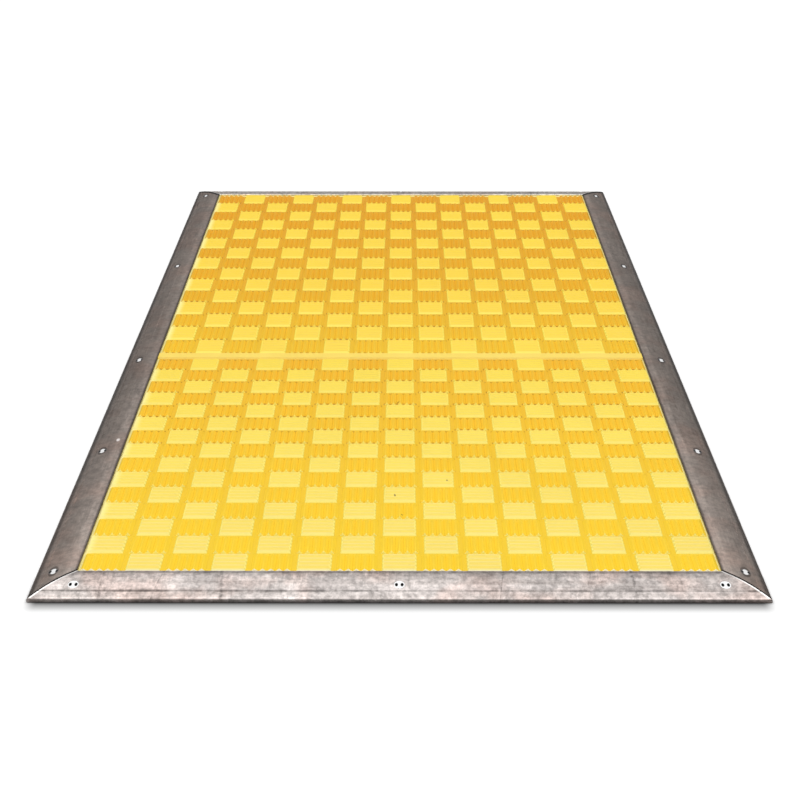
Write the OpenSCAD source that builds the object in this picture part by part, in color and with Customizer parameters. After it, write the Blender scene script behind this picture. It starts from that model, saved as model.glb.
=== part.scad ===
// Presence-sensing safety mat: two ribbed mats joined edge to edge, with ramp trims on all four sides.
// Frame: origin at the centre of the footprint on the floor, X to the right, Y to the rear, Z up.
// All sizes are in millimetres.

/* [Mats] */
// Overall width of both mats
mat_w = 750; // [500:1:1200]
// Overall depth of the front mat
front_mat_d = 645; // [400:1:1200]
// Overall depth of the rear mat
rear_mat_d = 852; // [400:1:1200]
// Gap between the two mats for the stem of the joining strip
joint_gap = 3; // [2:0.1:6]
// Smooth border of a cover left open beside the lips and the joining strip
border_show = 0.5; // [0.25:0.25:8]
// Width of the solid skirt around the plates
skirt_w = 14; // [12:0.5:24]
// Corner radius of a mat
mat_corner_r = 3; // [1:0.5:8]

/* [Layers] */
// Thickness of the base cover
base_t = 2.5; // [2:0.1:5]
// Thickness of one contact plate
plate_t = 0.8; // [0.5:0.1:1.5]
// Thickness of the insulating separators between the plates
separator_t = 1.6; // [1:0.1:3]
// Thickness of the tread cover above the upper plate
skin_t = 4; // [3.5:0.1:8]
// Clearance around the edges of the plates
plate_play = 0.3; // [0.1:0.1:2]
// Width of the edge seal between the plates
seal_w = 10; // [6:0.5:20]
// Width of one separator strip
separator_w = 8; // [5:0.5:15]
// Number of separator strips
separator_count = 7; // [3:1:12]
// Clearance between the separator strips and the edge seal
separator_play = 0.3; // [0.1:0.1:5]

/* [Tread] */
// Columns of tread cells across a mat
tread_cols = 15; // [5:1:21]
// Rows of tread cells along a mat
tread_rows = 15; // [5:1:21]
// Ribs in one cell
ribs_per_cell = 5; // [3:1:7]
// Height of a rib above the cover
rib_h = 3; // [1:0.1:4]
// Part of a cell's width left plain beyond the ends of ribs that run across the mat
cross_rib_gap = 8.5; // [4:0.5:14]
// Part of a cell's depth left plain beyond the ends of ribs that run along the mat
long_rib_gap = 2; // [1:0.25:8]
// Part of a cell left plain beside its ribs
rib_side_gap = 2; // [1:0.25:4]

/* [Lead inlets] */
// Outer radius of an inlet bush
gland_r = 2.8; // [2:0.1:3]
// Radius of the bore for the lead
gland_bore_r = 2; // [1:0.1:2.2]
// Clearance around an inlet bush
gland_play = 0.1; // [0.05:0.05:0.3]
// Length of the wiring pocket above the lower plate, along the edge
pocket_l = 30; // [16:1:60]
// Width of the wiring pocket
pocket_w = 14; // [8:0.5:24]
// Height of the pocket roof above the plates
pocket_h = 2.6; // [1.5:0.1:3]

/* [Joining strip] */
// Width of the strip's cap
strip_w = 21; // [16:0.5:24]
// Thickness of the strip's cap
strip_t = 2.5; // [1.5:0.1:3]
// Slope of the strip's edges, from the foot to the top of each edge
strip_bevel = 2; // [0.5:0.25:4]
// Clearance on each side of the stem
stem_play = 0.3; // [0.1:0.1:0.6]
// Height of the stem's foot above the floor
stem_foot_z = 3; // [1:0.5:5]

/* [Ramp trims] */
// Width of a trim from the lip to the toe
trim_w = 48; // [46:1:60]
// Part of the lip that lies over the mat's border
lip_overlap = 9; // [6:0.5:10]
// Thickness of the lip
lip_t = 3; // [2:0.1:4]
// Width of the level crown
crown_w = 8; // [4:0.5:12]
// Thickness of the ramp above the foot, measured upright
ramp_t = 3.6; // [3.2:0.1:4]
// Radius of the rounded toe
toe_r = 2.2; // [1.8:0.1:2.6]
// Width of the foot under the toe
foot_w = 5; // [4.8:0.1:8]
// Distance of the grip groove from the toe
groove_from_toe = 11.5; // [8:0.5:14]
// Half width and depth of the grip groove
groove_r = 0.6; // [0.3:0.1:1]
// Edge break along the lip
lip_break = 0.6; // [0.2:0.1:1.2]
// Clearance between the mat's edge and the trims
edge_play = 0.3; // [0.1:0.1:1]
// Gap left in each mitre
mitre_gap = 0.4; // [0.1:0.1:1]
// Thickness of the trim's base
trim_base_t = 2; // [1.5:0.1:3]
// Width of the trim's base
trim_base_w = 28.7; // [26:0.1:30]
// Width of the screw rail that stands on the base
rail_w = 12; // [9:0.5:14]

/* [Fasteners] */
// Distance of the screw line from the lip
screw_u = 27; // [24:0.5:30]
// Thread diameter of the trim screws
screw_d = 6; // [4:0.5:6]
// Head diameter of the trim screws
screw_head_d = 12; // [8:0.5:13]
// Length of the trim screws with the head
screw_l = 8.4; // [7.4:0.1:9]
// Radius of the two driver holes in a head
drive_r = 1.3; // [0.6:0.1:1.5]
// Distance between the two driver holes
drive_spacing = 6.4; // [4:0.1:7]
// Depth of the driver holes
drive_depth = 1.4; // [0.8:0.1:1.8]
// Clearance around the screws
screw_play = 0.1; // [0.05:0.05:0.3]
// Depth of the heads' faces below the ramp
screw_sink = 0.2; // [0.1:0.05:0.5]
// Distance of the end screws from the mitres
screw_end = 28; // [20:1:60]
// Distance of the rear screws of the side trims from the rear mitres
rear_screw_end = 31; // [20:1:60]
// Distance of the middle screw of a side trim from the joint of the mats, towards the front
joint_screw_shift = 15; // [0:1:60]
// Radius of the floor anchor holes
anchor_r = 2.75; // [2:0.25:3.5]
// Distance of the anchor holes from the mat's edge
anchor_inset = 6.5; // [5:0.5:8]
// Distance between the two outer anchors of a side trim
anchor_outer_span = 1120; // [900:1:1300]
// Distance between the two inner anchors of a side trim
anchor_inner_span = 370; // [200:1:700]
// Distance between the two anchors of the front trim and of the rear trim
anchor_end_span = 380; // [200:1:600]

/* [Lead exit] */
// Distance from the last screw of the rear trim to the end of its rail and base
exit_rail_end = 10; // [8:0.5:14]
// Distance from that end to the slot where the leads leave
exit_gap = 4; // [1:0.5:6]
// Width of the slot
exit_w = 8; // [5:0.5:9]
// Length of the slot from the toe inwards
exit_l = 12; // [8:0.5:13]

/* [Hidden] */
$fn = 48;
eps = 0.01;
over = 1;
far = 200;

yellow = [0.95, 0.72, 0.1];
pale_yellow = [0.96, 0.82, 0.32];
bare_steel = [0.66, 0.67, 0.69];
seal_white = [0.88, 0.87, 0.83];
base_grey = [0.2, 0.2, 0.21];
bare_aluminium = [0.78, 0.77, 0.76];
bright_steel = [0.82, 0.82, 0.83];

lower_plate_z = base_t;
separator_z = lower_plate_z + plate_t;
upper_plate_z = separator_z + separator_t;
skin_z = upper_plate_z + plate_t;
border_z = skin_z + skin_t;
trim_top_z = border_z + lip_t;

mats_d = front_mat_d + joint_gap + rear_mat_d;
total_d = mats_d + 2 * (trim_w - lip_overlap);
back_y = total_d / 2;
toe_y = -total_d / 2;
lip_y = toe_y + trim_w;
front_mat_y = lip_y - lip_overlap;
rear_mat_y = front_mat_y + front_mat_d + joint_gap;
front_mid_y = front_mat_y + front_mat_d / 2;
rear_mid_y = rear_mat_y + rear_mat_d / 2;
joint_y = rear_mat_y - joint_gap / 2;
mat_edge_x = mat_w / 2;
lip_x = mat_edge_x - lip_overlap;
border_w = max(lip_overlap, (strip_w - joint_gap) / 2) + border_show;
inner_w = 2 * (lip_x - edge_play);

cavity_w = mat_w - 2 * skirt_w;
plate_w = cavity_w - 2 * plate_play;
gland_z = skin_z + pocket_h - gland_bore_r - gland_play;

base_u = lip_overlap + edge_play;
rail_u = screw_u - rail_w / 2;
anchor_u = base_u + anchor_inset;
groove_u = trim_w - groove_from_toe;
toe_u = trim_w - toe_r;
foot_u = trim_w - foot_w;

// The ramp is an arc that leaves the crown level and runs into the rounded toe
nose_angle = 2 * atan((trim_top_z - 2 * toe_r) / (toe_u - crown_w));
nose_u = toe_u + toe_r * sin(nose_angle);
nose_z = toe_r + toe_r * cos(nose_angle);
ramp_run = nose_u - crown_w;
ramp_fall = trim_top_z - nose_z;
ramp_r = (pow(ramp_run, 2) + pow(ramp_fall, 2)) / (2 * ramp_fall);
nose_steps = 4;
ramp_steps = 14;

function ramp_z(u) = trim_top_z - ramp_r + sqrt(pow(ramp_r, 2) - pow(u - crown_w, 2));
function ramp_angle(u) = asin((u - crown_w) / ramp_r);
function ramp_points(from, to, steps) = [
  for (i = [0:steps])
    let (u = from + (to - from) * i / steps)
      [u, ramp_z(u)]
];

under_slope = (border_z - ramp_z(foot_u) + ramp_t) / (foot_u - base_u);
function under_z(u) = border_z - under_slope * (u - base_u);

front_screw_y = lip_y - screw_u + screw_end;
rear_screw_y = screw_u - lip_y - rear_screw_end;
joint_screw_y = joint_y - joint_screw_shift;
side_screw_y = [
  front_screw_y,
  (front_screw_y + joint_screw_y) / 2,
  joint_screw_y,
  (joint_screw_y + rear_screw_y) / 2,
  rear_screw_y
];
end_screw_x = lip_x + screw_u - screw_end;
exit_bay_x = end_screw_x + exit_rail_end;

// A flat plate with rounded corners, its front edge on Y = 0 and centred on X = 0
module mat_plate(w, d, t) {
  r = mat_corner_r;
  linear_extrude(height = t)
    union() {
      translate([-w / 2 + r, 0])
        square([w - 2 * r, d]);
      translate([-w / 2, r])
        square([w, d - 2 * r]);
      for (x = [-w / 2 + r, w / 2 - r], y = [r, d - r])
        translate([x, y])
          circle(r);
    }
}

// The ribs of one cell: ridges side by side along X, each running along Y, on a thin root
module rib_comb(across, along, end_gap) {
  w = across - rib_side_gap;
  l = along - end_gap;
  pitch = w / ribs_per_cell;
  ridge = [
    for (i = [0:ribs_per_cell - 1], k = [0, 1])
      [-w / 2 + (i + k / 2) * pitch, k * rib_h]
  ];
  translate([0, l / 2, 0])
    rotate([90, 0, 0])
      linear_extrude(height = l)
        polygon(concat([[-w / 2, -over]], ridge, [[w / 2, 0], [w / 2, -over]]));
}

// The basket weave: cells with ribs along Y and along X take turns
module tread_field(d) {
  cell_w = (mat_w - 2 * border_w) / tread_cols;
  cell_d = (d - 2 * border_w) / tread_rows;
  for (c = [0:tread_cols - 1], r = [0:tread_rows - 1])
    translate([border_w - mat_w / 2 + (c + 0.5) * cell_w, border_w + (r + 0.5) * cell_d, border_z])
      if ((c + r) % 2 == 0)
        rib_comb(cell_w, cell_d, long_rib_gap);
      else
        rotate([0, 0, 90])
          rib_comb(cell_d, cell_w, cross_rib_gap);
}

// A bore through the skirt on the right, where the lead leaves the mat
module inlet_bore(d, r) {
  translate([mat_edge_x - skirt_w - over, d / 2, gland_z])
    rotate([0, 90, 0])
      cylinder(h = skirt_w + 2 * over, r = r);
}

// Moulded cover: skirt, skin and tread in one piece, hollow below for the plates
module tread_cover(d) {
  difference() {
    union() {
      translate([0, 0, base_t])
        mat_plate(mat_w, d, border_z - base_t);
      tread_field(d);
    }
    translate([-cavity_w / 2, skirt_w, base_t - over])
      cube([cavity_w, d - 2 * skirt_w, skin_z - base_t + over]);
    translate([cavity_w / 2 - pocket_w, (d - pocket_l) / 2, skin_z - eps])
      cube([pocket_w, pocket_l, pocket_h + eps]);
    inlet_bore(d, gland_r + gland_play);
  }
}

// Clears the wiring pocket out of a layer
module pocket_notch(d) {
  translate([cavity_w / 2 - pocket_w, (d - pocket_l) / 2, 0])
    cube([pocket_w + over, pocket_l, border_z]);
}

module plate(d) {
  translate([-plate_w / 2, skirt_w + plate_play, 0])
    cube([plate_w, d - 2 * (skirt_w + plate_play), plate_t]);
}

module lower_plate(d) {
  translate([0, 0, lower_plate_z])
    plate(d);
}

module upper_plate(d) {
  difference() {
    translate([0, 0, upper_plate_z])
      plate(d);
    pocket_notch(d);
  }
}

module edge_seal(d) {
  seal_d = d - 2 * (skirt_w + plate_play);
  difference() {
    translate([-plate_w / 2, skirt_w + plate_play, separator_z])
      cube([plate_w, seal_d, separator_t]);
    translate([seal_w - plate_w / 2, skirt_w + plate_play + seal_w, separator_z - over])
      cube([plate_w - 2 * seal_w, seal_d - 2 * seal_w, separator_t + 2 * over]);
    pocket_notch(d);
  }
}

module separators(d) {
  open_w = plate_w - 2 * seal_w;
  pitch = open_w / (separator_count + 1);
  inset = skirt_w + plate_play + seal_w + separator_play;
  for (i = [1:separator_count])
    translate([i * pitch - open_w / 2 - separator_w / 2, inset, separator_z])
      cube([separator_w, d - 2 * inset, separator_t]);
}

module base_cover(d) {
  mat_plate(mat_w, d, base_t);
}

module lead_gland(d) {
  translate([mat_edge_x - skirt_w, d / 2, gland_z])
    rotate([0, 90, 0])
      difference() {
        cylinder(h = skirt_w, r = gland_r);
        translate([0, 0, -over])
          cylinder(h = skirt_w + 2 * over, r = gland_bore_r);
      }
}

// Trim sections: u runs outwards from the lip, the second axis is height
module cover_section() {
  polygon(concat(
    [
      [0, border_z],
      [base_u, border_z],
      [foot_u, under_z(foot_u)],
      [foot_u, 0],
      [trim_w, 0],
      [trim_w, toe_r]
    ],
    ramp_points(nose_u, groove_u + groove_r, nose_steps),
    [[groove_u, ramp_z(groove_u) - groove_r]],
    ramp_points(groove_u - groove_r, crown_w, ramp_steps),
    [
      [lip_break, trim_top_z],
      [0, trim_top_z - lip_break]
    ]
  ));
  translate([toe_u, toe_r])
    circle(toe_r);
}

module rail_section() {
  rail_end_u = rail_u + rail_w;
  polygon([
    [rail_u, trim_base_t],
    [rail_end_u, trim_base_t],
    [rail_end_u, under_z(rail_end_u)],
    [rail_u, under_z(rail_u)]
  ]);
}

module base_section() {
  translate([base_u, 0])
    square([trim_base_w, trim_base_t]);
}

// Extrudes a section along Y from one end to the other
module run(from, to) {
  translate([0, to, 0])
    rotate([90, 0, 0])
      linear_extrude(height = to - from)
        children();
}

// Cuts an end of a run along the mitre that passes through the inner lip corner at y
module mitre_cut(y, dir) {
  g = mitre_gap / sqrt(2);
  translate([0, y, -over])
    linear_extrude(height = trim_top_z + 2 * over)
      polygon([
        [-over, dir * (-over - g)],
        [trim_w + over, dir * (trim_w + over - g)],
        [trim_w + over, dir * (trim_w + far)],
        [-over, dir * (trim_w + far)]
      ]);
}

// Puts a shape at the screw line of the ramp, upright to the ramp's surface there
module on_ramp(y) {
  translate([screw_u, y, ramp_z(screw_u) - screw_sink])
    rotate([0, ramp_angle(screw_u), 0])
      children();
}

// A countersunk screw body with its head's face on Z = 0
module screw_body(play) {
  cone_h = (screw_head_d - screw_d) / 2;
  translate([0, 0, -cone_h])
    cylinder(h = cone_h, r1 = screw_d / 2 + play, r2 = screw_head_d / 2 + play);
  translate([0, 0, -screw_l])
    cylinder(h = screw_l - cone_h + eps, r = screw_d / 2 + play);
}

// Clears a screw's way through cover, rail and base, open above the ramp and below the screw
module screw_hole() {
  screw_body(screw_play);
  cylinder(h = over, r = screw_head_d / 2 + screw_play);
  translate([0, 0, -screw_l - over])
    cylinder(h = over + eps, r = screw_d / 2 + screw_play);
}

// The driver holes lie across the run on the side trims and along it at the front and rear
module screw(drive_turn) {
  difference() {
    screw_body(0);
    for (s = [-1, 1])
      rotate([0, 0, drive_turn])
        translate([s * drive_spacing / 2, 0, -drive_depth])
          cylinder(h = drive_depth + over, r = drive_r);
  }
}

module anchor_hole(y) {
  translate([anchor_u, y, -over])
    cylinder(h = trim_base_t + 2 * over, r = anchor_r);
}

// Side trims are drawn for the right and mirrored for the left
module on_side(side) {
  mirror([side == "left" ? 1 : 0, 0, 0])
    translate([lip_x, 0, 0])
      children();
}

// End trims are drawn for the front and mirrored for the rear
module on_end(end) {
  mirror([0, end == "rear" ? 1 : 0, 0])
    translate([0, lip_y, 0])
      rotate([0, 0, -90])
        children();
}

// A section run along a side, mitred at both ends and drilled for the screws
module side_run() {
  difference() {
    run(toe_y, back_y)
      children();
    mitre_cut(lip_y, -1);
    mitre_cut(-lip_y, 1);
    for (y = side_screw_y)
      on_ramp(y)
        screw_hole();
  }
}

module side_trim_base() {
  difference() {
    side_run()
      base_section();
    for (span = [anchor_outer_span, anchor_inner_span], s = [-1, 1])
      anchor_hole(s * span / 2);
  }
}

module side_trim_screws() {
  for (y = side_screw_y)
    on_ramp(y)
      screw(0);
}

// A section run along the front or the rear, mitred at both ends and drilled for the screws
module end_run() {
  difference() {
    run(-lip_x - trim_w, lip_x + trim_w)
      children();
    mitre_cut(lip_x, 1);
    mitre_cut(-lip_x, -1);
    for (x = [-end_screw_x, 0, end_screw_x])
      on_ramp(x)
        screw_hole();
  }
}

module end_trim_base() {
  difference() {
    end_run()
      base_section();
    for (s = [-1, 1])
      anchor_hole(s * anchor_end_span / 2);
  }
}

module end_trim_screws() {
  for (x = [-end_screw_x, 0, end_screw_x])
    on_ramp(x)
      screw(90);
}

// Ends the rear rail and base short of the right mitre, so that the leads can turn out there
module exit_bay() {
  translate([0, exit_bay_x, -over])
    cube([trim_w + over, far, trim_top_z + 2 * over]);
}

// The slot in the toe where the leads leave
module exit_slot() {
  translate([trim_w - exit_l, exit_bay_x + exit_gap, -over])
    cube([exit_l + over, exit_w, trim_top_z + 2 * over]);
}

// One module for each node

module front_tread_cover() {
  color(yellow)
    translate([0, front_mat_y, 0])
      tread_cover(front_mat_d);
}

module front_upper_plate() {
  color(bare_steel)
    translate([0, front_mat_y, 0])
      upper_plate(front_mat_d);
}

module front_separators() {
  color(seal_white)
    translate([0, front_mat_y, 0])
      separators(front_mat_d);
}

module front_edge_seal() {
  color(seal_white)
    translate([0, front_mat_y, 0])
      edge_seal(front_mat_d);
}

module front_lower_plate() {
  color(bare_steel)
    translate([0, front_mat_y, 0])
      lower_plate(front_mat_d);
}

module front_base_cover() {
  color(base_grey)
    translate([0, front_mat_y, 0])
      base_cover(front_mat_d);
}

module front_lead_gland() {
  color(base_grey)
    translate([0, front_mat_y, 0])
      lead_gland(front_mat_d);
}

module rear_tread_cover() {
  color(yellow)
    translate([0, rear_mat_y, 0])
      tread_cover(rear_mat_d);
}

module rear_upper_plate() {
  color(bare_steel)
    translate([0, rear_mat_y, 0])
      upper_plate(rear_mat_d);
}

module rear_separators() {
  color(seal_white)
    translate([0, rear_mat_y, 0])
      separators(rear_mat_d);
}

module rear_edge_seal() {
  color(seal_white)
    translate([0, rear_mat_y, 0])
      edge_seal(rear_mat_d);
}

module rear_lower_plate() {
  color(bare_steel)
    translate([0, rear_mat_y, 0])
      lower_plate(rear_mat_d);
}

module rear_base_cover() {
  color(base_grey)
    translate([0, rear_mat_y, 0])
      base_cover(rear_mat_d);
}

module rear_lead_gland() {
  color(base_grey)
    translate([0, rear_mat_y, 0])
      lead_gland(rear_mat_d);
}

module joining_strip() {
  stem_w = joint_gap - 2 * stem_play;
  color(pale_yellow)
    translate([-inner_w / 2, joint_y, 0])
      rotate([90, 0, 90])
        linear_extrude(height = inner_w)
          polygon([
            [-stem_w / 2, stem_foot_z],
            [stem_w / 2, stem_foot_z],
            [stem_w / 2, border_z],
            [strip_w / 2, border_z],
            [strip_w / 2 - strip_bevel, border_z + strip_t],
            [strip_bevel - strip_w / 2, border_z + strip_t],
            [-strip_w / 2, border_z],
            [-stem_w / 2, border_z]
          ]);
}

module left_trim_cover() {
  color(bare_aluminium)
    on_side("left")
      side_run()
        cover_section();
}

module left_screw_rail() {
  color(bare_aluminium)
    on_side("left")
      side_run()
        rail_section();
}

module left_trim_base() {
  color(bare_aluminium)
    on_side("left")
      side_trim_base();
}

module left_trim_screws() {
  color(bright_steel)
    on_side("left")
      side_trim_screws();
}

module right_trim_cover() {
  color(bare_aluminium)
    on_side("right")
      side_run()
        cover_section();
}

module right_screw_rail() {
  color(bare_aluminium)
    on_side("right")
      side_run()
        rail_section();
}

module right_trim_base() {
  color(bare_aluminium)
    on_side("right")
      side_trim_base();
}

module right_trim_screws() {
  color(bright_steel)
    on_side("right")
      side_trim_screws();
}

module front_trim_cover() {
  color(bare_aluminium)
    on_end("front")
      end_run()
        cover_section();
}

module front_screw_rail() {
  color(bare_aluminium)
    on_end("front")
      end_run()
        rail_section();
}

module front_trim_base() {
  color(bare_aluminium)
    on_end("front")
      end_trim_base();
}

module front_trim_screws() {
  color(bright_steel)
    on_end("front")
      end_trim_screws();
}

module rear_trim_cover() {
  color(bare_aluminium)
    on_end("rear")
      difference() {
        end_run()
          cover_section();
        exit_slot();
      }
}

module rear_screw_rail() {
  color(bare_aluminium)
    on_end("rear")
      difference() {
        end_run()
          rail_section();
        exit_bay();
      }
}

module rear_trim_base() {
  color(bare_aluminium)
    on_end("rear")
      difference() {
        end_trim_base();
        exit_bay();
      }
}

module rear_trim_screws() {
  color(bright_steel)
    on_end("rear")
      end_trim_screws();
}

front_tread_cover();
front_upper_plate();
front_separators();
front_edge_seal();
front_lower_plate();
front_base_cover();
front_lead_gland();
rear_tread_cover();
rear_upper_plate();
rear_separators();
rear_edge_seal();
rear_lower_plate();
rear_base_cover();
rear_lead_gland();
joining_strip();
left_trim_cover();
left_screw_rail();
left_trim_base();
left_trim_screws();
right_trim_cover();
right_screw_rail();
right_trim_base();
right_trim_screws();
front_trim_cover();
front_screw_rail();
front_trim_base();
front_trim_screws();
rear_trim_cover();
rear_screw_rail();
rear_trim_base();
rear_trim_screws();
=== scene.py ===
import math

import bpy
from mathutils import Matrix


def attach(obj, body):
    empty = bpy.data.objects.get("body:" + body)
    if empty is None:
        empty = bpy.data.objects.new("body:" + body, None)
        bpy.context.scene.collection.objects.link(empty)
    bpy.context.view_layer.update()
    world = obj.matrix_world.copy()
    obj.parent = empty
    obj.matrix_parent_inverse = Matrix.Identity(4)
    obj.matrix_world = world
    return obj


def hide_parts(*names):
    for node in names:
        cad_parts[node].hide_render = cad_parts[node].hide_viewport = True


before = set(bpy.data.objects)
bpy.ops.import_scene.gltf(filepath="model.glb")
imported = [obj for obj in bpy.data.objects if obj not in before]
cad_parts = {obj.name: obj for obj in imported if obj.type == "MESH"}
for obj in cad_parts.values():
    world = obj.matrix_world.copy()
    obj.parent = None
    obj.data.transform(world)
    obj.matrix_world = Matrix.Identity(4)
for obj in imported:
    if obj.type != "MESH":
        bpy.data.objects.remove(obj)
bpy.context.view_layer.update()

# Sizes of the part in metres, in the row frame
MM = 0.001
MAT_W = 750 * MM
FRONT_D = 645 * MM
REAR_D = 852 * MM
JOINT_GAP = 3 * MM
TRIM_W = 48 * MM
LIP_OVERLAP = 9 * MM
BORDER_SHOW = 0.5 * MM
BORDER_W = LIP_OVERLAP + BORDER_SHOW
SKIRT_W = 14 * MM
CORNER_R = 3 * MM
POCKET_R = 1 * MM
TOP_CHAMFER = 0.8 * MM
BASE_T = 2.5 * MM
PLATE_T = 0.8 * MM
SEPARATOR_T = 1.6 * MM
SKIN_T = 4 * MM
SKIN_Z = BASE_T + 2 * PLATE_T + SEPARATOR_T
BORDER_Z = SKIN_Z + SKIN_T
COLS = 15
ROWS = 15
RIBS = 5
RIB_H = 3 * MM
CROSS_RIB_GAP = 8.5 * MM
LONG_RIB_GAP = 2 * MM
RIB_SIDE_GAP = 2 * MM
SCREW_U = 27 * MM
SCREW_END = 28 * MM
REAR_SCREW_END = 31 * MM
JOINT_SCREW_SHIFT = 15 * MM
DRIVE_X = 3.2 * MM

TOTAL_D = FRONT_D + JOINT_GAP + REAR_D + 2 * (TRIM_W - LIP_OVERLAP)
TOE_Y = TOTAL_D / 2
LIP_Y = TOE_Y - TRIM_W
LIP_X = MAT_W / 2 - LIP_OVERLAP
FRONT_Y = -LIP_Y - LIP_OVERLAP
REAR_Y = FRONT_Y + FRONT_D + JOINT_GAP
SIDE_SCREW_X = LIP_X + SCREW_U
END_SCREW_X = SIDE_SCREW_X - SCREW_END
END_SCREW_Y = LIP_Y + SCREW_U
FRONT_SCREW_Y = SCREW_END - END_SCREW_Y
REAR_SCREW_Y = END_SCREW_Y - REAR_SCREW_END
JOINT_SCREW_Y = REAR_Y - JOINT_GAP / 2 - JOINT_SCREW_SHIFT
SIDE_SCREW_Y = (
    FRONT_SCREW_Y,
    (FRONT_SCREW_Y + JOINT_SCREW_Y) / 2,
    JOINT_SCREW_Y,
    (JOINT_SCREW_Y + REAR_SCREW_Y) / 2,
    REAR_SCREW_Y,
)


# Shader helpers

# Sockets of a mix node that hold colours
MIX_FACTOR = 0
MIX_COLOUR_A = 6
MIX_COLOUR_B = 7
MIX_RESULT = 2


def new_material(name):
    m = bpy.data.materials.new(name)
    m.use_nodes = True
    nt = m.node_tree
    return m, nt, nt.nodes["Principled BSDF"]


def node(nt, kind, **inputs):
    n = nt.nodes.new(kind)
    for key, value in inputs.items():
        n.inputs[key].default_value = value
    return n


def feed(nt, socket, value):
    """Set a socket to a number or a colour, or link it to another socket."""
    if isinstance(value, (int, float)):
        socket.default_value = value
    elif isinstance(value, tuple):
        socket.default_value = (*value, 1)
    else:
        nt.links.new(value, socket)


def object_coords(nt, scale=(1, 1, 1)):
    tc = nt.nodes.new("ShaderNodeTexCoord")
    mp = nt.nodes.new("ShaderNodeMapping")
    mp.inputs["Scale"].default_value = scale
    nt.links.new(tc.outputs["Object"], mp.inputs["Vector"])
    return mp.outputs["Vector"]


def split(nt, vector):
    s = nt.nodes.new("ShaderNodeSeparateXYZ")
    nt.links.new(vector, s.inputs["Vector"])
    return s.outputs["X"], s.outputs["Y"], s.outputs["Z"]


def math_node(nt, operation, *values):
    n = nt.nodes.new("ShaderNodeMath")
    n.operation = operation
    for socket, value in zip(n.inputs, values):
        feed(nt, socket, value)
    return n.outputs[0]


def plus(nt, a, b):
    return math_node(nt, "ADD", a, b)


def minus(nt, a, b):
    return math_node(nt, "SUBTRACT", a, b)


def times(nt, a, b):
    return math_node(nt, "MULTIPLY", a, b)


def over(nt, a, b):
    return math_node(nt, "DIVIDE", a, b)


def size_of(nt, a):
    return math_node(nt, "ABSOLUTE", a)


def length_node(nt, a, b):
    """Length of the vector with the parts a and b."""
    squares = plus(nt, math_node(nt, "POWER", a, 2), math_node(nt, "POWER", b, 2))
    return math_node(nt, "SQRT", squares)


def nearest(nt, value, places):
    """Distance from a coordinate to the nearest of some places."""
    gaps = [size_of(nt, minus(nt, value, p)) for p in places]
    least = gaps[0]
    for gap in gaps[1:]:
        least = math_node(nt, "MINIMUM", least, gap)
    return least


def grey(v):
    return (v, v, v)


def greys(stops):
    """Stops of a ramp with each share as a grey."""
    return [(place, grey(share)) for place, share in stops]


def ramp(nt, fac, stops):
    r = nt.nodes.new("ShaderNodeValToRGB")
    els = r.color_ramp.elements
    while len(els) < len(stops):
        els.new(0.5)
    for e, (pos, col) in zip(els, stops):
        e.position = pos
        e.color = (*col, 1)
    nt.links.new(fac, r.inputs["Fac"])
    return r.outputs["Color"]


def along(nt, place, stops):
    """Colour from stops set along a coordinate, in its own units."""
    first = stops[0][0]
    length = stops[-1][0] - first
    share = over(nt, minus(nt, place, first), length)
    return ramp(nt, share, [((p - first) / length, c) for p, c in stops])


def noise(nt, vector, scale, detail, rough=0.55):
    n = node(nt, "ShaderNodeTexNoise", Scale=scale, Detail=detail, Roughness=rough)
    nt.links.new(vector, n.inputs["Vector"])
    return n.outputs["Fac"]


def grey_noise(nt, vector, stops, scale, detail, rough=0.55):
    """Noise turned into greys."""
    return ramp(nt, noise(nt, vector, scale, detail, rough), greys(stops))


def band(nt, value, start, end):
    """0 up to start, 1 from end on, in the value's own units."""
    n = nt.nodes.new("ShaderNodeMapRange")
    n.interpolation_type = "SMOOTHSTEP"
    n.inputs["From Min"].default_value = start
    n.inputs["From Max"].default_value = end
    nt.links.new(value, n.inputs["Value"])
    return n.outputs["Result"]


def mix(nt, fac, a, b, mode="MIX"):
    m = nt.nodes.new("ShaderNodeMix")
    m.data_type = "RGBA"
    m.blend_type = mode
    for place, value in ((MIX_FACTOR, fac), (MIX_COLOUR_A, a), (MIX_COLOUR_B, b)):
        feed(nt, m.inputs[place], value)
    return m.outputs[MIX_RESULT]


def tint(nt, tone, colour):
    """The tone times a colour."""
    return mix(nt, 1.0, tone, colour, "MULTIPLY")


def stain(nt, share, tone, colour):
    """The tone, tinted by a share."""
    return mix(nt, share, tone, tint(nt, tone, colour))


def crevices(nt, distance):
    """1 in open places, lower where the surface is shut in."""
    ao = nt.nodes.new("ShaderNodeAmbientOcclusion")
    ao.samples = 8
    ao.inputs["Distance"].default_value = distance
    return ao.outputs["AO"]


def bump(nt, bsdf, height, strength, distance):
    b = node(nt, "ShaderNodeBump", Strength=strength, Distance=distance)
    nt.links.new(height, b.inputs["Height"])
    nt.links.new(b.outputs["Normal"], bsdf.inputs["Normal"])


# Vinyl

# Specks of dirt on the treads: place on X and Y, radius
SPECKS = [
    (0.000, 0.549, 3.0 * MM),
    (0.058, 0.215, 2.8 * MM),
    (0.178, 0.142, 2.0 * MM),
    (-0.003, -0.274, 2.6 * MM),
    (0.060, -0.514, 1.9 * MM),
    (-0.006, -0.555, 1.9 * MM),
    (0.003, -0.605, 1.7 * MM),
]
SPECK_TONE = (0.24, 0.16, 0.02)
# Where a speck starts and where it is full, as shares of its radius
SPECK_START = 1.45
SPECK_FULL = 0.85

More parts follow.
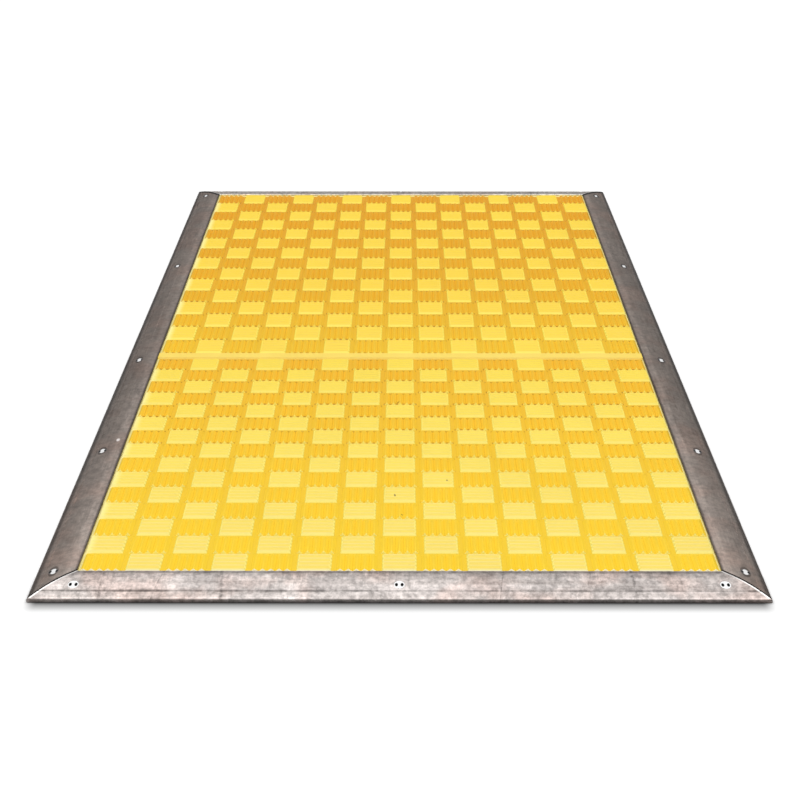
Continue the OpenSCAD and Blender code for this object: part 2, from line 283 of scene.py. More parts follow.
# Tone of the vinyl along the mats: place on Y, colour; every tone is deeper to the rear as painted
# shade.
# The deep tone is on flats and long ribs, a paler tone painted as a sheen on cross ribs,
# and a painted highlight on the ends of ribs and on the front of each cell of cross ribs
DEEP = [
    (-0.70, (0.97, 0.665, 0.032)),
    (-0.45, (0.955, 0.615, 0.029)),
    (-0.108, (0.915, 0.518, 0.022)),
    (-0.100, (0.925, 0.585, 0.026)),
    (0.20, (0.865, 0.475, 0.014)),
    (0.70, (0.84, 0.405, 0.006)),
]
SHEEN = [
    (-0.70, (0.92, 0.731, 0.113)),
    (-0.45, (0.925, 0.730, 0.075)),
    (-0.108, (0.925, 0.70, 0.032)),
    (-0.100, (0.925, 0.665, 0.030)),
    (0.20, (0.92, 0.640, 0.012)),
    (0.70, (0.915, 0.655, 0.006)),
]
HIGHLIGHT = [
    (-0.70, (0.95, 0.83, 0.19)),
    (-0.10, (0.95, 0.79, 0.09)),
    (0.70, (0.95, 0.74, 0.04)),
]
# Painted shade in the ends of the valleys between long ribs
VALLEY_SHADE = [
    (-0.70, (0.96, 0.65, 0.030)),
    (-0.50, (0.90, 0.56, 0.022)),
    (-0.35, (0.60, 0.32, 0.009)),
    (-0.10, (0.56, 0.30, 0.008)),
    (0.20, (0.54, 0.26, 0.005)),
    (0.70, (0.54, 0.23, 0.003)),
]
# Painted shade in shut-in places along the mats: place on Y, share
CREVICE_SHADE_LENGTH = [(-0.70, 0.12), (-0.55, 0.30), (-0.35, 0.9), (0.70, 1.0)]
CREVICE_SHADE_TINT = (0.56, 0.42, 0.22)
# Openness of a place, share of the painted shade
SHUT_IN = [(0.40, 1), (0.66, 0.3), (0.88, 0)]
CREVICE = 4 * MM

# Painted shade on the flats and the feet of the ribs: heights over the flats where the tint starts and
# is full
FOOT_START = 0.5 * MM
FOOT_FULL = 0.1 * MM
FOOT_SHADE_TINT = (0.87, 0.85, 0.60)
# Painted relief on the cross ribs, shade in the valleys and a highlight on the crests: shares of a rib's
# height, and where on Y it starts and is full
VALLEY_TOP = 0.45
CREST_FOOT = 0.55
RELIEF_Y = (0.1, -0.7)
RELIEF_SHADE_TINT = (0.96, 0.88, 0.40)
RELIEF_HIGHLIGHT_TINT = (1.02, 1.05, 1.90)

# Painted highlights on the rims of the treads: distances from a trim's lip where the tone starts and is
# full
LEFT_RIM = (3.6 * MM, 2.8 * MM)
RIGHT_RIM = (2.2 * MM, 1.4 * MM)
FRONT_RIM = (4.2 * MM, 3.4 * MM)
REAR_RIM = (7.2 * MM, 6.0 * MM)
RIM_HIGHLIGHT_TONE = (0.93, 0.80, 0.30)
FRONT_RIM_HIGHLIGHT_TONE = (0.94, 0.86, 0.52)
# The wider painted highlight beside the left trim
LEFT_HIGHLIGHT_REACH = (13 * MM, 2 * MM)
LEFT_HIGHLIGHT_TONE = (0.955, 0.87, 0.30)

# Noise value, share
VINYL_CLOUD = [(0.3, 0.96), (0.7, 1.0)]
VINYL_ROUGHNESS = [(0.3, 0.34), (0.7, 0.46)]
GRAIN_DEPTH = 0.3 * MM


def tread_vinyl(name, stops, specular, shade_share, painted_relief, left_highlight):
    """Yellow vinyl with a tone that runs along the mats and is deeper to the rear as painted shade,
    painted shade in shut-in places and a few specks.

    painted_relief is the share by which crests are painted paler as a highlight and valleys deeper as
    shade at the front, left_highlight the share of the painted highlight beside the left trim."""
    m, nt, bsdf = new_material(name)
    v = object_coords(nt)
    x, y, z = split(nt, v)
    # The tone along the mats grows deeper to the rear as painted shade
    tone = along(nt, y, stops)
    tone = tint(nt, tone, grey_noise(nt, v, VINYL_CLOUD, scale=7, detail=5))
    # Painted shade on the flats and the feet of the ribs
    foot = band(nt, z, BORDER_Z + FOOT_START, BORDER_Z + FOOT_FULL)
    tone = stain(nt, foot, tone, FOOT_SHADE_TINT)
    # Painted relief: shade in the valleys, a highlight on the crests, stronger at the front
    strength = times(nt, band(nt, y, *RELIEF_Y), painted_relief)
    valley = band(nt, z, BORDER_Z + VALLEY_TOP * RIB_H, BORDER_Z)
    tone = stain(nt, times(nt, valley, strength), tone, RELIEF_SHADE_TINT)
    crest = band(nt, z, BORDER_Z + CREST_FOOT * RIB_H, BORDER_Z + RIB_H)
    tone = stain(nt, times(nt, crest, strength), tone, RELIEF_HIGHLIGHT_TINT)
    # Painted shade where the surface is shut in, more of it to the rear
    shut_in = ramp(nt, crevices(nt, CREVICE), greys(SHUT_IN))
    painted_shade = along(nt, y, greys([(p, s * shade_share) for p, s in CREVICE_SHADE_LENGTH]))
    tone = stain(nt, times(nt, shut_in, painted_shade), tone, CREVICE_SHADE_TINT)
    # Painted highlights beside the left trim and along the rims of the treads
    beside_left = band(nt, x, *(d - LIP_X for d in LEFT_HIGHLIGHT_REACH))
    tone = mix(nt, times(nt, beside_left, left_highlight), tone, LEFT_HIGHLIGHT_TONE)
    left_rim = band(nt, x, *(d - LIP_X for d in LEFT_RIM))
    right_rim = band(nt, x, *(LIP_X - d for d in RIGHT_RIM))
    rear_rim = band(nt, y, *(LIP_Y - d for d in REAR_RIM))
    side_rims = math_node(nt, "MAXIMUM", left_rim, right_rim)
    tone = mix(nt, math_node(nt, "MAXIMUM", side_rims, rear_rim), tone, RIM_HIGHLIGHT_TONE)
    front_rim = band(nt, y, *(d - LIP_Y for d in FRONT_RIM))
    tone = mix(nt, front_rim, tone, FRONT_RIM_HIGHLIGHT_TONE)
    wobble = noise(nt, v, scale=300, detail=2)
    for speck_x, speck_y, speck_r in SPECKS:
        off = length_node(nt, minus(nt, x, speck_x), minus(nt, y, speck_y))
        off = plus(nt, off, times(nt, wobble, speck_r))
        speck = band(nt, off, SPECK_START * speck_r, SPECK_FULL * speck_r)
        tone = mix(nt, speck, tone, SPECK_TONE)
    nt.links.new(tone, bsdf.inputs["Base Color"])
    rough = grey_noise(nt, v, VINYL_ROUGHNESS, scale=60, detail=4)
    nt.links.new(rough, bsdf.inputs["Roughness"])
    bsdf.inputs["Specular IOR Level"].default_value = specular
    bump(nt, bsdf, noise(nt, v, scale=900, detail=3), strength=0.12, distance=GRAIN_DEPTH)
    return m


def plain_vinyl(name, main, deep, pale, rough):
    m, nt, bsdf = new_material(name)
    v = object_coords(nt)
    cloud = noise(nt, v, scale=9, detail=5)
    tone = ramp(nt, cloud, [(0.3, deep), (0.55, main), (0.8, pale)])
    nt.links.new(tone, bsdf.inputs["Base Color"])
    roughness = [(0.3, rough - 0.08), (0.7, rough + 0.1)]
    nt.links.new(grey_noise(nt, v, roughness, scale=60, detail=4), bsdf.inputs["Roughness"])
    bump(nt, bsdf, noise(nt, v, scale=900, detail=3), strength=0.15, distance=GRAIN_DEPTH)
    return m


# Copies of one vinyl: the deep tone, a paler copy painted as lit by a sheen, a copy painted as a
# highlight and a copy painted as shade in the ends of the valleys
deep_vinyl = tread_vinyl(
    "tread_vinyl_deep", DEEP, specular=0.3, shade_share=0.9, painted_relief=0.0, left_highlight=0.0)
valley_shade_vinyl = tread_vinyl(
    "tread_vinyl_valley_shade", VALLEY_SHADE, specular=0.3, shade_share=0.9, painted_relief=0.0, left_highlight=0.0)
sheen_vinyl = tread_vinyl(
    "tread_vinyl_sheen", SHEEN, specular=0.6, shade_share=0.25, painted_relief=0.8, left_highlight=0.9)
highlight_vinyl = tread_vinyl(
    "tread_vinyl_highlight", HIGHLIGHT, specular=0.6, shade_share=0.15, painted_relief=0.3, left_highlight=0.9)
strip_mat = plain_vinyl(
    "strip_vinyl",
    main=(0.93, 0.69, 0.115),
    deep=(0.91, 0.66, 0.10),
    pale=(0.94, 0.72, 0.135),
    rough=0.40,
)
base_mat = plain_vinyl(
    "base_vinyl",
    main=(0.045, 0.045, 0.05),
    deep=(0.03, 0.03, 0.034),
    pale=(0.07, 0.07, 0.075),
    rough=0.6,
)
gland_mat = plain_vinyl(
    "gland_rubber",
    main=(0.02, 0.02, 0.022),
    deep=(0.012, 0.012, 0.013),
    pale=(0.035, 0.035, 0.036),
    rough=0.6,
)
foam_mat = plain_vinyl(
    "insulation",
    main=(0.74, 0.72, 0.66),
    deep=(0.66, 0.64, 0.58),
    pale=(0.8, 0.78, 0.72),
    rough=0.7,
)


# Metal

# Scale of the coordinates, which draws the lines out along the grain
PLATE_GRAIN = (1, 0.05, 1)
SIDE_GRAIN = (1, 0.03, 1)
END_GRAIN = (0.03, 1, 1)
STREAK_GRAIN = (1, 0.15, 1)
LINE_DEPTH = 0.2 * MM


def metal(name, light, dark, rough, grain, wear):
    """Bare metal with drawing lines along the grain and cloudy wear.

    Returns the parts that trims add to."""
    m, nt, bsdf = new_material(name)
    lines = noise(nt, object_coords(nt, grain), scale=90, detail=6, rough=0.65)
    tone = ramp(nt, lines, [(0.3, dark), (0.62, light)])
    worn = [(0.35, 1 - wear), (0.65, 1)]
    cloud = grey_noise(nt, object_coords(nt), worn, scale=22, detail=5, rough=0.6)
    tone = tint(nt, tone, cloud)
    nt.links.new(tone, bsdf.inputs["Base Color"])
    roughness = [(0.3, rough + 0.1), (0.7, rough - 0.06)]
    nt.links.new(ramp(nt, lines, greys(roughness)), bsdf.inputs["Roughness"])
    bsdf.inputs["Metallic"].default_value = 1.0
    bump(nt, bsdf, lines, strength=0.12, distance=LINE_DEPTH)
    return m, nt, bsdf, tone


# Wear of all trims: noise value, share, and the tint it gives
SIDE_SCUFFS = [(0.40, 0.72), (0.58, 1)]
END_SCUFFS = [(0.40, 0.58), (0.58, 1)]
ROSY = [(0.45, 0), (0.62, 1)]
ROSY_TINT = (1.05, 0.96, 0.93)
PATCHES = [(0.42, 0.15), (0.60, 1)]
RUBS = [(0.54, 0), (0.68, 0.8)]
RUB_TINT = grey(1.35)
DRAGS = [(0.32, 0.8), (0.46, 0)]
DRAG_TINT = grey(0.62)

# Painted shade round the screws of the side trims: distances where it starts and is full.
# It is longer along the trim
SCREW_SHADE = (6.4 * MM, 5.4 * MM)
SCREW_SHADE_STRETCH = 1.9
SCREW_SHADE_TINT = grey(0.5)

# Bright chip in the left trim: place and half width, and it is longer along the trim
CHIP_X = -0.377
CHIP_Y = -0.400
CHIP_W = 2.9 * MM
CHIP_STRETCH = 2
CHIP_TONE = (0.70, 0.65, 0.62)

# Painted shade in the groove of the end trims: shares of the trim's width from the lip
GROOVE_START = (0.71, 0.74)
GROOVE_END = (0.81, 0.78)
GROOVE_SHADE = [(0.42, 0.15), (0.58, 1)]
GROOVE_SHADE_TINT = grey(0.55)

# Marks on the end trims, placed for the front one:
# place on X at the lip, run on X from the lip to the toe, half width
MARKS = [
    (-0.333, -1.5 * MM, 2.6 * MM),
    (-0.266, -10 * MM, 1.1 * MM),
    (-0.201, 3 * MM, 3.0 * MM),
    (0.118, -6 * MM, 0.9 * MM),
    (0.262, 2 * MM, 2.2 * MM),
]
MARK_PATCHES = [(0.38, 0), (0.60, 0.75)]
MARK_TINT = grey(0.38)

# Painted line at a mitre, shade on the side trims and a highlight on the end trims: shares of its width
# where it starts and is full, shares of the trim's width where it stops before the toe,
# and the places on Y between which its width changes from front to rear
MITRE_EDGE = (1.0, 0.6)
MITRE_TOE = (0.975, 0.945)
CORNER_IN = 0.70
CORNER_OUT = 0.75


def side_marks(nt, bsdf, tone, x, y):
    """Painted shade round the screws of the side trims, and the chip in the left one."""
    dx = nearest(nt, x, (-SIDE_SCREW_X, SIDE_SCREW_X))
    dy = nearest(nt, y, SIDE_SCREW_Y)
    from_screw = length_node(nt, dx, over(nt, dy, SCREW_SHADE_STRETCH))
    tone = stain(nt, band(nt, from_screw, *SCREW_SHADE), tone, SCREW_SHADE_TINT)
    chip_dy = over(nt, minus(nt, y, CHIP_Y), CHIP_STRETCH)
    from_chip = length_node(nt, minus(nt, x, CHIP_X), chip_dy)
    chip = band(nt, from_chip, CHIP_W, CHIP_W / 2)
    nt.links.new(minus(nt, 1.0, chip), bsdf.inputs["Metallic"])
    return mix(nt, chip, tone, CHIP_TONE)


def end_marks(nt, tone, v, x, share):
    """Painted shade in the groove of an end trim, and the marks that run from its lip to its toe."""
    groove = times(nt, band(nt, share, *GROOVE_START), band(nt, share, *GROOVE_END))
    painted_shade = grey_noise(nt, v, GROOVE_SHADE, scale=30, detail=3)
    tone = stain(nt, times(nt, groove, painted_shade), tone, GROOVE_SHADE_TINT)
    patchy = grey_noise(nt, v, MARK_PATCHES, scale=170, detail=5, rough=0.7)
    for start, run, half_w in MARKS:
        line = plus(nt, times(nt, share, run), start)
        off = size_of(nt, minus(nt, x, line))
        mark = times(nt, band(nt, off, half_w, 0.2 * half_w), patchy)
        tone = stain(nt, mark, tone, MARK_TINT)
    return tone


def trim_metal(name, light, dark, rough, wear, side, profile, lengthwise, mitre_w, mitre_tone):
    """Trim metal with painted light and shade across and along the trim, scuffs, and a painted line at
    its mitres.

    mitre_w holds the width of that line at the front and at the rear corners."""
    m, nt, bsdf, tone = metal(name, light, dark, rough, SIDE_GRAIN if side else END_GRAIN, wear)
    v = object_coords(nt)
    x, y, _ = split(nt, v)
    out_x = minus(nt, size_of(nt, x), LIP_X)
    out_y = minus(nt, size_of(nt, y), LIP_Y)
    place, other = (out_x, out_y) if side else (out_y, out_x)
    share = over(nt, place, TRIM_W)
    # Painted light and shade across the trim, then along it
    tone = tint(nt, tone, ramp(nt, share, greys(profile)))
    tone = tint(nt, tone, along(nt, y if side else x, greys(lengthwise)))
    scuffs = SIDE_SCUFFS if side else END_SCUFFS
    tone = tint(nt, tone, grey_noise(nt, v, scuffs, scale=140, detail=8, rough=0.75))
    tone = stain(nt, grey_noise(nt, v, ROSY, scale=16, detail=3), tone, ROSY_TINT)
    patches = grey_noise(nt, v, PATCHES, scale=14, detail=2)
    streaks = noise(nt, object_coords(nt, STREAK_GRAIN), scale=210, detail=4, rough=0.7)
    rubs = times(nt, patches, ramp(nt, streaks, greys(RUBS)))
    tone = stain(nt, rubs, tone, RUB_TINT)
    drags = times(nt, patches, ramp(nt, streaks, greys(DRAGS)))
    tone = stain(nt, drags, tone, DRAG_TINT)
    if side:
        tone = side_marks(nt, bsdf, tone, x, y)
    else:
        tone = end_marks(nt, tone, v, x, share)
    front_w, rear_w = mitre_w
    widths = greys([
        (-CORNER_OUT, front_w),
        (-CORNER_IN, front_w),
        (CORNER_IN, rear_w),
        (CORNER_OUT, rear_w),
    ])
    from_mitre = over(nt, minus(nt, place, other), along(nt, y, widths))
    line = times(nt, band(nt, from_mitre, *MITRE_EDGE), band(nt, share, *MITRE_TOE))
    nt.links.new(mix(nt, line, tone, mitre_tone), bsdf.inputs["Base Color"])
    return m


# Painted light and shade across a trim: share of its width from the lip, share of the tone
SIDE_PROFILE = [
    (0.0, 0.28),
    (0.03, 0.33),
    (0.07, 0.80),
    (0.20, 0.84),
    (0.30, 0.69),
    (0.84, 0.64),
    (0.91, 0.23),
]
FRONT_PROFILE = [
    (0.0, 1.0),
    (0.02, 1.0),
    (0.03, 0.57),
    (0.10, 0.61),
    (0.15, 1.0),
    (0.35, 0.92),
    (0.69, 0.74),
    (0.82, 0.74),
    (0.93, 0.76),
    (0.945, 0.90),
    (0.962, 0.90),
    (0.985, 0.42),
]
REAR_PROFILE = [(0.0, 1.0), (0.04, 1.0), (0.10, 0.86), (0.94, 0.80), (0.97, 0.4)]
# Painted light along a trim, brighter at the front of the side trims and at the left of the front trim:
# place on Y for a side trim and on X for an end trim, share of the tone
SIDE_LENGTH = [(-0.75, 1.0), (-0.45, 0.84), (-0.2, 0.72), (0.1, 0.70), (0.75, 0.76)]
FRONT_LENGTH = [(-0.41, 1.22), (-0.24, 1.18), (-0.12, 1.08), (0.08, 1.04), (0.41, 1.05)]
REAR_LENGTH = [(-0.41, 1.0), (0.41, 1.0)]
# Tones of the mitre lines: painted shade on the side trims, a painted highlight on the end trims
MITRE_SHADE = (0.035, 0.03, 0.028)
MITRE_HIGHLIGHT = (0.86, 0.83, 0.81)

plate_mat = metal(
    "contact_steel", (0.55, 0.55, 0.57), (0.4, 0.4, 0.42), rough=0.34, grain=PLATE_GRAIN, wear=0.15)[0]
trim_base_mat = metal(
    "trim_base_aluminium", grey(0.68), grey(0.5), rough=0.4, grain=PLATE_GRAIN, wear=0.2)[0]
# The three trims are one aluminium; their light and dark tones differ from trim to trim as painted light
# and shade
side_trim_mat = trim_metal(
    "side_trim_aluminium",
    light=(0.97, 0.825, 0.735),
    dark=(0.675, 0.57, 0.505),
    rough=0.38,
    wear=0.2,
    side=True,
    profile=SIDE_PROFILE,
    lengthwise=SIDE_LENGTH,
    mitre_w=(4.5 * MM, 12 * MM),
    mitre_tone=MITRE_SHADE,
)
front_trim_mat = trim_metal(
    "front_trim_aluminium",
    light=(0.91, 0.83, 0.795),
    dark=(0.62, 0.555, 0.52),
    rough=0.40,
    wear=0.34,
    side=False,
    profile=FRONT_PROFILE,
    lengthwise=FRONT_LENGTH,
    mitre_w=(3.4 * MM, 3.4 * MM),
    mitre_tone=MITRE_HIGHLIGHT,
)
rear_trim_mat = trim_metal(
    "rear_trim_aluminium",
    light=(0.95, 0.90, 0.84),
    dark=(0.80, 0.75, 0.70),
    rough=0.40,
    wear=0.15,
    side=False,
    profile=REAR_PROFILE,
    lengthwise=REAR_LENGTH,
    mitre_w=(3.4 * MM, 3.4 * MM),
    mitre_tone=MITRE_HIGHLIGHT,
)

# Screw heads: noise value and share of the zinc's tone, distances from the centre where
# the rim starts and is full, and how far rim and the painted shade of the driver holes are drawn out
# along Y
ZINC = [(0.3, 0.82), (0.7, 0.92)]
HEAD_RIM = (2.6 * MM, 3.6 * MM)
HEAD_RIM_STRETCH = 2
HOLE_SHADE_STRETCH = 1.6
HOLE_SHADE_EDGE = 1.33
HOLE_SHADE_TONE = grey(0.012)


def screw_steel(name, places_x, places_y, rim, hole_shade_x, hole_shade_r):
    """Bright zinc with a rim of its own tone, dark on the side screws as painted shade, and painted
    shade about the two driver holes.

    hole_shade_x is the distance of the painted shade from the screw's centre, hole_shade_r its radius."""
    m, nt, bsdf = new_material(name)
    v = object_coords(nt)
    x, y, _ = split(nt, v)
    dx = nearest(nt, x, places_x)
    dy = nearest(nt, y, places_y)
    zinc = grey_noise(nt, v, ZINC, scale=400, detail=3)
    from_centre = length_node(nt, dx, over(nt, dy, HEAD_RIM_STRETCH))
    zinc = mix(nt, band(nt, from_centre, *HEAD_RIM), zinc, rim)
    from_hole = length_node(nt, minus(nt, dx, hole_shade_x), over(nt, dy, HOLE_SHADE_STRETCH))
    unshaded = band(nt, from_hole, hole_shade_r, HOLE_SHADE_EDGE * hole_shade_r)
    nt.links.new(mix(nt, unshaded, HOLE_SHADE_TONE, zinc), bsdf.inputs["Base Color"])
    bsdf.inputs["Metallic"].default_value = 0.2
    bsdf.inputs["Roughness"].default_value = 0.4
    bsdf.inputs["Specular IOR Level"].default_value = 0.2
    return m


side_screw_mat = screw_steel(
    "side_screw_steel",
    places_x=(-SIDE_SCREW_X, SIDE_SCREW_X),
    places_y=SIDE_SCREW_Y,
    # The dark rim of the side screws is painted shade
    rim=(0.16, 0.145, 0.14),
    hole_shade_x=DRIVE_X + 0.5 * MM,
    hole_shade_r=1.3 * MM,
)
end_screw_mat = screw_steel(
    "end_screw_steel",
    places_x=(-END_SCREW_X, 0, END_SCREW_X),
    places_y=(-END_SCREW_Y, END_SCREW_Y),
    rim=grey(0.92),
    hole_shade_x=DRIVE_X,
    hole_shade_r=1.5 * MM,
)


# Tread covers with moulded ribs

# Places of the vinyl tones in a cover's materials
DEEP_TONE = 0
SHEEN_TONE = 1
HIGHLIGHT_TONE = 2
VALLEY_SHADE_TONE = 3


class Mesh:
    def __init__(self):
        self.verts = []
        self.faces = []
        self.tones = []
        self.smooth = []

    def add(self, verts, faces, tones, smooth):
        k = len(self.verts)
        self.verts += verts
        self.faces += [tuple(k + i for i in f) for f in faces]
        self.tones += tones
        self.smooth += [smooth] * len(faces)

    def build(self, name, materials):
        me = bpy.data.meshes.new(name)
        me.from_pydata(self.verts, [], self.faces)
        for material in materials:
            me.materials.append(material)
        me.polygons.foreach_set("material_index", self.tones)
        me.polygons.foreach_set("use_smooth", self.smooth)
        me.update()
        ob = bpy.data.objects.new(name, me)
        bpy.context.scene.collection.objects.link(ob)
        return ob


# Half of a rib's section from the foot to the crest: share of the half width, share of the height
HALF_SECTION = [(1.0, -0.02), (0.60, 0.36), (0.24, 0.82), (0.09, 0.97)]
SECTION = [(-u, h) for u, h in HALF_SECTION] + [(u, h) for u, h in reversed(HALF_SECTION)]
# Length of the sloped ends of a rib: front and rear end of one along the mat, both ends of one across it
LONG_HIPS = (1.8 * MM, 4.5 * MM)
CROSS_HIPS = (2.4 * MM, 2.4 * MM)
# Reach of the painted shade in the valleys from the front ends of the long ribs
VALLEY_SHADE_REACH = 4 * MM
# Faces of the section, from the front foot up, that have the painted highlight on a cell's first cross
# rib
HIGHLIGHT_FACES = 2


def rib(mesh, cx, cy, half_w, length, along_y, front_rib):
    """A ridge with hipped ends: each end slope cuts the ridge at the heights of the section's points."""
    first_hip, last_hip = LONG_HIPS if along_y else CROSS_HIPS
    caps = [h for u, h in HALF_SECTION]
    stations = [(max(h, 0) * first_hip - length / 2, h) for h in caps]
    stations.append((VALLEY_SHADE_REACH - length / 2, 1))
    stations += [(length / 2 - max(h, 0) * last_hip, h) for h in reversed(caps)]
    verts = []
    for t, cap in stations:
        for u, h in SECTION:
            a = u * half_w
            z = BORDER_Z + RIB_H * min(h, cap)
            verts.append((cx + a, cy + t, z) if along_y else (cx + t, cy + a, z))
    n = len(SECTION)
    strips = len(stations) - 1
    hip_strips = len(caps) - 1
    faces = []
    tones = []
    for i in range(strips):
        from_end = min(i, strips - 1 - i)
        at_end = from_end < hip_strips
        for j in range(n - 1):
            near = i * n + j
            far = near + n
            face = (near, near + 1, far + 1, far)
            faces.append(face if along_y else tuple(reversed(face)))
            on_hip = at_end and from_end < j < n - 2 - from_end
            in_valley = j in (0, n - 2)
            # Painted highlights on the ends of cross ribs, the front foot of a cell's first cross rib
            # and the front hips of long ribs; painted shade in the valleys at the ends of long ribs
            if not along_y:
                on_highlight = at_end or (front_rib and j < HIGHLIGHT_FACES)
                tones.append(HIGHLIGHT_TONE if on_highlight else SHEEN_TONE)
            elif on_hip and i < hip_strips:
                tones.append(HIGHLIGHT_TONE)
            elif in_valley and (at_end or i == hip_strips):
                tones.append(VALLEY_SHADE_TONE)
            else:
                tones.append(DEEP_TONE)
    mesh.add(verts, faces, tones, True)


# Steps in a quarter turn of a rounded corner
CORNER_STEPS = 5


def rounded_rect(x0, y0, x1, y1, r, z):
    corners = (
        (x1 - r, y0 + r, -90),
        (x1 - r, y1 - r, 0),
        (x0 + r, y1 - r, 90),
        (x0 + r, y0 + r, 180),
    )
    pts = []
    for cx, cy, start in corners:
        for k in range(CORNER_STEPS + 1):
            a = math.radians(start + 90 * k / CORNER_STEPS)
            pts.append((cx + r * math.cos(a), cy + r * math.sin(a), z))
    return pts


def tray(mesh, y0, depth):
    """Skirt, skin and border of a cover, hollow below for the plates."""
    x1 = MAT_W / 2
    y1 = y0 + depth

    def ring(inset, r, z):
        return rounded_rect(inset - x1, y0 + inset, x1 - inset, y1 - inset, r, z)

    rings = [
        ring(SKIRT_W, POCKET_R, SKIN_Z),
        ring(SKIRT_W, POCKET_R, BASE_T),
        ring(0, CORNER_R, BASE_T),
        ring(0, CORNER_R, BORDER_Z - TOP_CHAMFER),
        ring(TOP_CHAMFER, CORNER_R - TOP_CHAMFER, BORDER_Z),
    ]
    n = len(rings[0])
    verts = [p for points in rings for p in points]
    faces = [tuple(reversed(range(n)))]
    for i in range(len(rings) - 1):
        for j in range(n):
            k = (j + 1) % n
            faces.append((i * n + j, i * n + k, (i + 1) * n + k, (i + 1) * n + j))
    top = (len(rings) - 1) * n
    faces.append(tuple(top + j for j in range(n)))
    mesh.add(verts, faces, [DEEP_TONE] * len(faces), False)


def tread_cover(name, y0, depth):
    """A cover with cells of ribs along and across the mat in turn."""
    mesh = Mesh()
    tray(mesh, y0, depth)
    cell_w = (MAT_W - 2 * BORDER_W) / COLS
    cell_d = (depth - 2 * BORDER_W) / ROWS
    for c in range(COLS):
        for r in range(ROWS):
            cx = BORDER_W - MAT_W / 2 + (c + 0.5) * cell_w
            cy = y0 + BORDER_W + (r + 0.5) * cell_d
            along_y = (c + r) % 2 == 0
            across = cell_w if along_y else cell_d
            length = cell_d - LONG_RIB_GAP if along_y else cell_w - CROSS_RIB_GAP
            pitch = (across - RIB_SIDE_GAP) / RIBS
            # Cross ribs beside a side trim run on to its lip
            outward = {0: -1, COLS - 1: 1}.get(c, 0)
            if outward and not along_y:
                length += CROSS_RIB_GAP / 2
                cx += outward * CROSS_RIB_GAP / 4
            for k in range(RIBS):
                off = (k - (RIBS - 1) / 2) * pitch
                place = (cx + off, cy) if along_y else (cx, cy + off)
                rib(mesh, *place, pitch / 2, length, along_y, k == 0)
    return mesh.build(name, (deep_vinyl, sheen_vinyl, highlight_vinyl, valley_shade_vinyl))


for piece, y0, depth, replaced in (
    ("front_tread", FRONT_Y, FRONT_D, "front_tread_cover"),
    ("rear_tread", REAR_Y, REAR_D, "rear_tread_cover"),
):
    ob = tread_cover(piece, y0, depth)
    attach(ob, "root")
    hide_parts(replaced)


# Solids that stay as they are, with their finishes

def dress(name, material):
    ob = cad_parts[name]
    ob.data.materials.clear()
    ob.data.materials.append(material)


for mat_name in ("front", "rear"):
    dress(mat_name + "_upper_plate", plate_mat)
    dress(mat_name + "_lower_plate", plate_mat)
    dress(mat_name + "_separators", foam_mat)
    dress(mat_name + "_edge_seal", foam_mat)
    dress(mat_name + "_base_cover", base_mat)
    dress(mat_name + "_lead_gland", gland_mat)
for side, cover_mat, screw_mat in (
    ("left", side_trim_mat, side_screw_mat),
    ("right", side_trim_mat, side_screw_mat),
    ("front", front_trim_mat, end_screw_mat),
    ("rear", rear_trim_mat, end_screw_mat),
):
    dress(side + "_trim_cover", cover_mat)
    dress(side + "_screw_rail", trim_base_mat)
    dress(side + "_trim_base", trim_base_mat)
    dress(side + "_trim_screws", screw_mat)
dress("joining_strip", strip_mat)


# Stage: white floor with the soft shadow under the front edge, sky light and the camera

FLOOR_Z = -0.6 * MM
FLOOR_HALF = 100
# Noise value, share of white
FLOOR_TONE = [(0.3, 0.955), (0.7, 0.96)]
# The soft shadow in front of the toe: where it starts on Y, how far it reaches, and its tones
SHADOW_START = 2 * MM - TOE_Y
SHADOW_REACH = 26 * MM
SHADOW = [(0.0, 0.08), (0.10, 0.14), (0.25, 0.32), (0.5, 0.56), (0.75, 0.82), (1.0, 0.96)]
# Where it fades out: under the part, from the toe, and at the sides, from the trims' outer edges
SHADOW_UNDER = (60 * MM, 50 * MM)
SHADOW_SIDES = (6 * MM, -12 * MM)


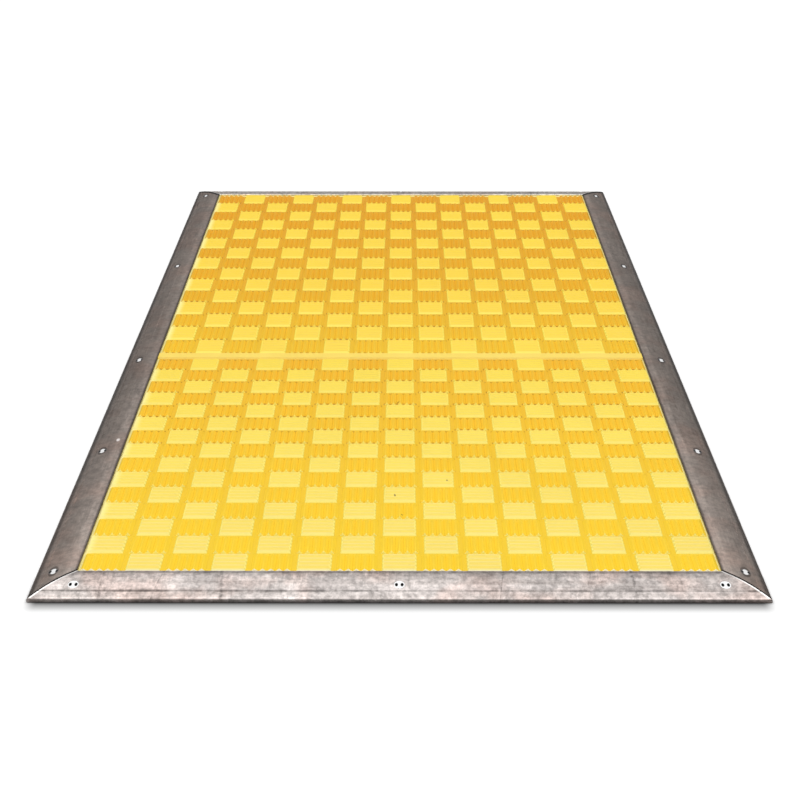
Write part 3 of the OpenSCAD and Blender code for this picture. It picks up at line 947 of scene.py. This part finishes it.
def floor_material():
    m, nt, bsdf = new_material("floor")
    v = object_coords(nt)
    x, y, _ = split(nt, v)
    reach = over(nt, minus(nt, SHADOW_START, y), SHADOW_REACH)
    shadow = ramp(nt, reach, greys(SHADOW))
    inside_y = band(nt, y, *(d - TOE_Y for d in SHADOW_UNDER))
    inside_x = band(nt, size_of(nt, x), *(LIP_X + TRIM_W + d for d in SHADOW_SIDES))
    pale = grey_noise(nt, v, FLOOR_TONE, scale=3, detail=2)
    tone = mix(nt, times(nt, inside_x, inside_y), pale, shadow)
    nt.links.new(tone, bsdf.inputs["Base Color"])
    bsdf.inputs["Roughness"].default_value = 0.9
    bsdf.inputs["Specular IOR Level"].default_value = 0.0
    return m


floor_mesh = bpy.data.meshes.new("floor")
floor_corners = [
    (-FLOOR_HALF, -FLOOR_HALF, FLOOR_Z),
    (FLOOR_HALF, -FLOOR_HALF, FLOOR_Z),
    (FLOOR_HALF, FLOOR_HALF, FLOOR_Z),
    (-FLOOR_HALF, FLOOR_HALF, FLOOR_Z),
]
floor_mesh.from_pydata(floor_corners, [], [(0, 1, 2, 3)])
floor_mesh.materials.append(floor_material())
floor = bpy.data.objects.new("floor", floor_mesh)
bpy.context.scene.collection.objects.link(floor)

# Bright ceiling and dim walls: sine of the elevation, share of the strongest light
SKY = [(0.0, 0.12), (0.50, 0.13), (0.62, 0.55), (0.74, 1.0)]
SKY_STRENGTH = 1.72

world = bpy.data.worlds.new("studio")
bpy.context.scene.world = world
world.use_nodes = True
sky_nodes = world.node_tree
direction = sky_nodes.nodes.new("ShaderNodeTexCoord").outputs["Generated"]
elevation = split(sky_nodes, direction)[2]
background = sky_nodes.nodes["Background"]
sky_nodes.links.new(ramp(sky_nodes, elevation, greys(SKY)), background.inputs["Color"])
background.inputs["Strength"].default_value = SKY_STRENGTH

# Camera fitted to the edges of the mats in the photograph: lens in mm, place, tilt and turn in degrees
LENS = 68.9
SENSOR_W = 36
CLIP_END = 200
CAMERA_PLACE = (0.0035, -2.2453, 0.902)
CAMERA_TILT = 65.768
CAMERA_TURN = 0.105

cam_data = bpy.data.cameras.new("camera")
cam_data.lens = LENS
cam_data.sensor_width = SENSOR_W
cam_data.clip_end = CLIP_END
cam = bpy.data.objects.new("camera", cam_data)
cam.location = CAMERA_PLACE
cam.rotation_euler = (math.radians(CAMERA_TILT), 0, math.radians(CAMERA_TURN))
bpy.context.scene.collection.objects.link(cam)
bpy.context.scene.camera = cam

bpy.context.scene.view_settings.view_transform = "Standard"
